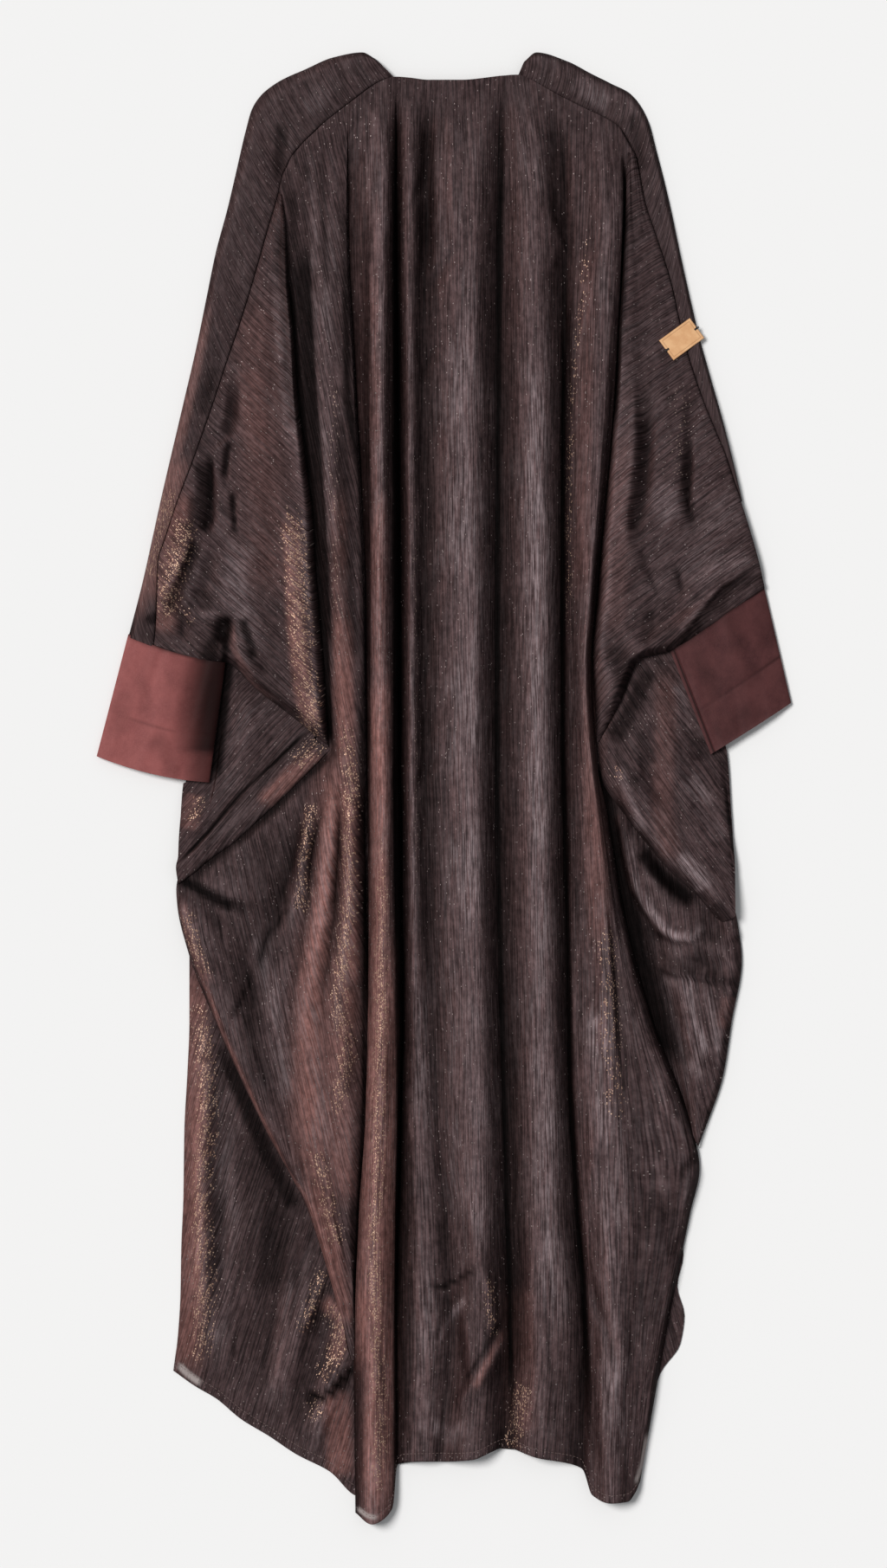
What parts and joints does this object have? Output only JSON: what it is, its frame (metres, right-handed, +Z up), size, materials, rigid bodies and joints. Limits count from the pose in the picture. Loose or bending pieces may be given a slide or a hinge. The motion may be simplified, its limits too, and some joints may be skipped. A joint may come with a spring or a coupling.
{
  "type": "cape abaya",
  "caption": "Open-fronted cape abaya in crinkled plum cloth with maroon cuffs, laid flat on its front with long folds down the back.",
  "frame": {"origin": "centre of the underside's bounding box, on the surface that the garment lies on", "axes": "+Z up from that surface; +Y from the hem to the shoulders; +X to the right of the back as seen from above"},
  "size_m": [0.69, 1.463, 0.019],
  "materials": {
    "cloth": "crinkled crepe with fine metallic threads along the grain, soft sheen",
    "strip_cloth": "the same crinkled cloth cut across its grain",
    "cuff_cloth": "smooth plain maroon cloth, low sheen",
    "label_leather": "undyed tan leather, smooth, pressed border"
  },
  "bodies": {
    "root": {"front_left": "cloth", "front_right": "cloth", "back_centre": "cloth", "back_drape_left": "cloth", "back_drape_right": "cloth", "underarm_left": "cloth", "underarm_right": "cloth", "sleeve_left": "cloth", "sleeve_right": "cloth", "shoulder_strip_left": "strip_cloth", "shoulder_strip_right": "strip_cloth", "cuff_left": "cuff_cloth", "cuff_right": "cuff_cloth", "label": "label_leather"}
  },
  "joints": []
}
